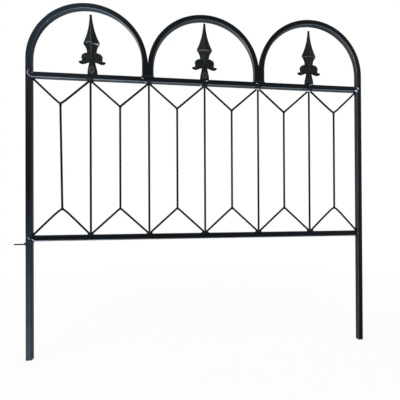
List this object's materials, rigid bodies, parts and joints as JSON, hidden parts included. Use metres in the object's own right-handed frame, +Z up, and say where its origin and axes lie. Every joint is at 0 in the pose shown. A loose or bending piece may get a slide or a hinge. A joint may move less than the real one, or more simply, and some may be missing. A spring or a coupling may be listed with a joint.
{
  "type": "steel garden border fence",
  "caption": "Welded steel border fence panel with round-topped arches, cast spear finials, a wire infill with chevron ends, and bare legs that push into the ground.",
  "frame": {"origin": "on the flat outer face of the right post, in the middle of its depth, at the ground line 100 mm above the foot", "axes": "-X along the panel to the left post with the joining loop, +Y through the panel to its back, +Z up"},
  "size_m": [0.6294, 0.0194, 0.6133],
  "materials": {
    "frame_paint": "semi-gloss black paint on square steel tube",
    "wire_paint": "semi-gloss black paint on steel wire",
    "cast_paint": "black paint on cast iron"
  },
  "bodies": {
    "root": {"left_arch_post": "frame_paint", "middle_arch": "frame_paint", "right_arch_post": "frame_paint", "top_rail": "frame_paint", "bottom_rail": "frame_paint", "joining_loop": "wire_paint", "upright_wire_1": "wire_paint", "upright_wire_2": "wire_paint", "upright_wire_3": "wire_paint", "upright_wire_4": "wire_paint", "upright_wire_5": "wire_paint", "centre_wire_1": "wire_paint", "centre_wire_2": "wire_paint", "centre_wire_3": "wire_paint", "centre_wire_4": "wire_paint", "centre_wire_5": "wire_paint", "centre_wire_6": "wire_paint", "upper_chevron_1": "wire_paint", "upper_chevron_2": "wire_paint", "upper_chevron_3": "wire_paint", "upper_chevron_4": "wire_paint", "upper_chevron_5": "wire_paint", "upper_chevron_6": "wire_paint", "lower_chevron_1": "wire_paint", "lower_chevron_2": "wire_paint", "lower_chevron_3": "wire_paint", "lower_chevron_4": "wire_paint", "lower_chevron_5": "wire_paint", "lower_chevron_6": "wire_paint", "finial_left": "cast_paint", "finial_middle": "cast_paint", "finial_right": "cast_paint"}
  },
  "joints": []
}
